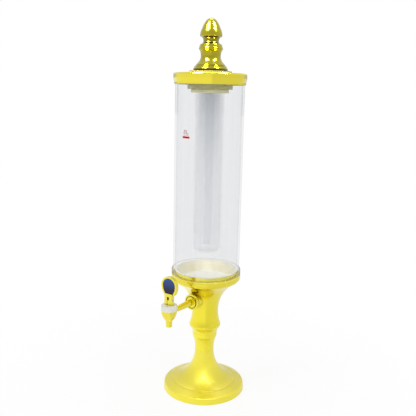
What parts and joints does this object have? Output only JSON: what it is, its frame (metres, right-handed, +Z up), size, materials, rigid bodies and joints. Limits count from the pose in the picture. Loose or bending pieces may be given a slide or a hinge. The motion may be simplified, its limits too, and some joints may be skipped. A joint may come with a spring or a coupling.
{
  "type": "beer tower dispenser",
  "caption": "Tabletop drink tower: a clear tube on a gold pedestal with a tap near its foot, an ice tube inside and a lid with an acorn finial.",
  "frame": {"origin": "centre of the underside of the non-slip pad, on the tabletop", "axes": "+Z up along the tower's axis, the tap points along -Y"},
  "size_m": [0.1384, 0.1793, 0.6139],
  "materials": {
    "gold": "satin gold-coloured plating on moulded plastic",
    "polished_gold": "polished gold-coloured plating on moulded plastic",
    "tap_gold": "polished gold-coloured plating",
    "olive_plastic": "pale olive moulded plastic",
    "red_ink": "printed ink",
    "clear_acrylic": "clear polished acrylic",
    "ice_acrylic": "frosted translucent acrylic",
    "cream_liner": "moulded cream plastic",
    "white_fitting": "pearl white plastic",
    "silicone": "grey food-grade silicone",
    "black_rubber": "black rubber",
    "steel": "stainless steel",
    "iron": "cast iron",
    "inlay": "domed blue enamel"
  },
  "bodies": {
    "tower": {"non_slip_pad": "black_rubber", "base_plate": "steel", "base_plate_screws": "steel", "base_ballast": "iron", "base_shell": "gold", "tie_rod": "steel", "tie_rod_washer": "steel", "tie_rod_nut": "steel", "mid_stem": "gold", "stem_ring": "gold", "stem_plug": "steel", "funnel_body": "gold", "outlet_elbow": "silicone", "bowl_liner": "cream_liner", "collar_ring": "gold", "tube_gasket": "silicone", "spigot_seal": "silicone", "clear_tube": "clear_acrylic", "tube_foot_ring": "clear_acrylic", "tap_washer": "silicone", "tap_flange": "tap_gold", "tap_nut": "steel", "tap_body": "tap_gold", "bonnet_ring": "white_fitting", "valve_spring": "steel"},
    "lid": {"lid_shell": "gold", "lid_gasket": "silicone", "lid_plug": "olive_plastic", "finial_washer": "white_fitting", "finial_vase": "polished_gold", "finial_acorn": "polished_gold", "finial_stud": "steel", "stud_nut": "steel"},
    "ice_carrier": {"ice_tube_gasket": "silicone"},
    "ice_unit": {"ice_tube": "ice_acrylic", "ice_tube_collar": "olive_plastic"},
    "valve": {"valve_stem": "steel", "seat_cup": "silicone", "handle_pin": "steel"},
    "handle": {"tap_handle": "tap_gold", "handle_inlay": "inlay"}
  },
  "joints": [
    {"name": "lid_lift", "type": "slide", "parent": "tower", "child": "lid", "axis": [0, 0, 1], "range_m": [0, 0.3]},
    {"name": "ice_tube_drop", "type": "slide", "parent": "lid", "child": "ice_carrier", "axis": [0, 0, -1], "range_m": [0, 0.006]},
    {"name": "ice_tube_turn", "type": "hinge", "parent": "ice_carrier", "child": "ice_unit", "pos_m": [0, 0, 0.5], "axis": [0, 0, -1], "range_deg": [0, 720]},
    {"name": "valve_lift", "type": "slide", "parent": "tower", "child": "valve", "axis": [0, 0, 1], "range_m": [0, 0.002], "deforming": ["valve_spring"]},
    {"name": "tap_handle_tilt", "type": "hinge", "parent": "valve", "child": "handle", "pos_m": [0, -0.0974, 0.1853], "axis": [1, 0, 0], "range_deg": [0, 40], "stiffness_Nm_per_rad": 0.2, "springref_deg": -17.19}
  ],
  "couplings": [
    {"joint": "ice_tube_drop", "follows": "ice_tube_turn", "m_per_rad": 0.000477},
    {"joint": "valve_lift", "follows": "tap_handle_tilt", "m_per_rad": 0.00286}
  ]
}
